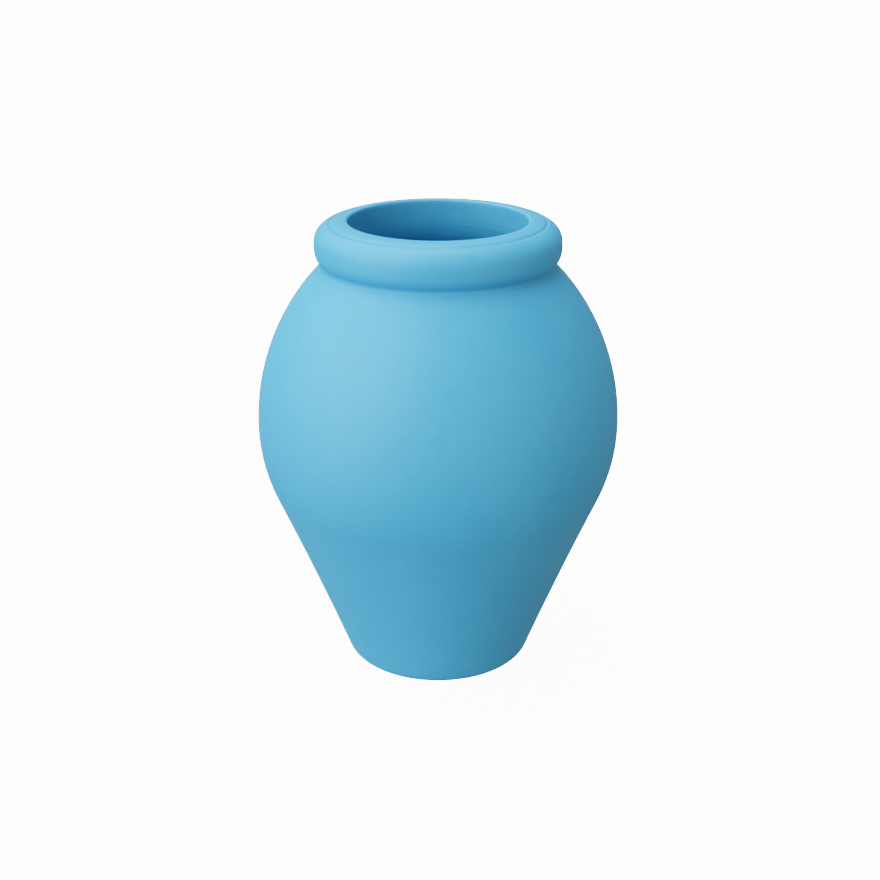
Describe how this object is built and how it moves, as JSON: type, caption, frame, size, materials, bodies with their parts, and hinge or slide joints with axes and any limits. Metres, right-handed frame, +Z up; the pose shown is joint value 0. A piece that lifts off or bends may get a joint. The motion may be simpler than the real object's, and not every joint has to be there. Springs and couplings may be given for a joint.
{
  "type": "amphora",
  "caption": "Wide-mouthed ceramic storage jar without handles: a narrow foot, a leaning lower wall, a round belly and a thick rolled rim, in matte blue glaze.",
  "frame": {"origin": "centre of the foot, on the surface that the jar stands on", "axes": "+Z up along the jar's axis of turning, from the foot to the mouth; X and Y are equivalent, because every section is turned"},
  "size_m": [0.236, 0.236, 0.2999],
  "materials": {
    "matte_blue_glaze": "smooth matte to satin blue glaze over fired clay, inside and out"
  },
  "bodies": {
    "root": {"foot_base": "matte_blue_glaze", "lower_wall": "matte_blue_glaze", "belly_wall": "matte_blue_glaze", "neck_collar": "matte_blue_glaze", "rolled_rim": "matte_blue_glaze"}
  },
  "joints": []
}
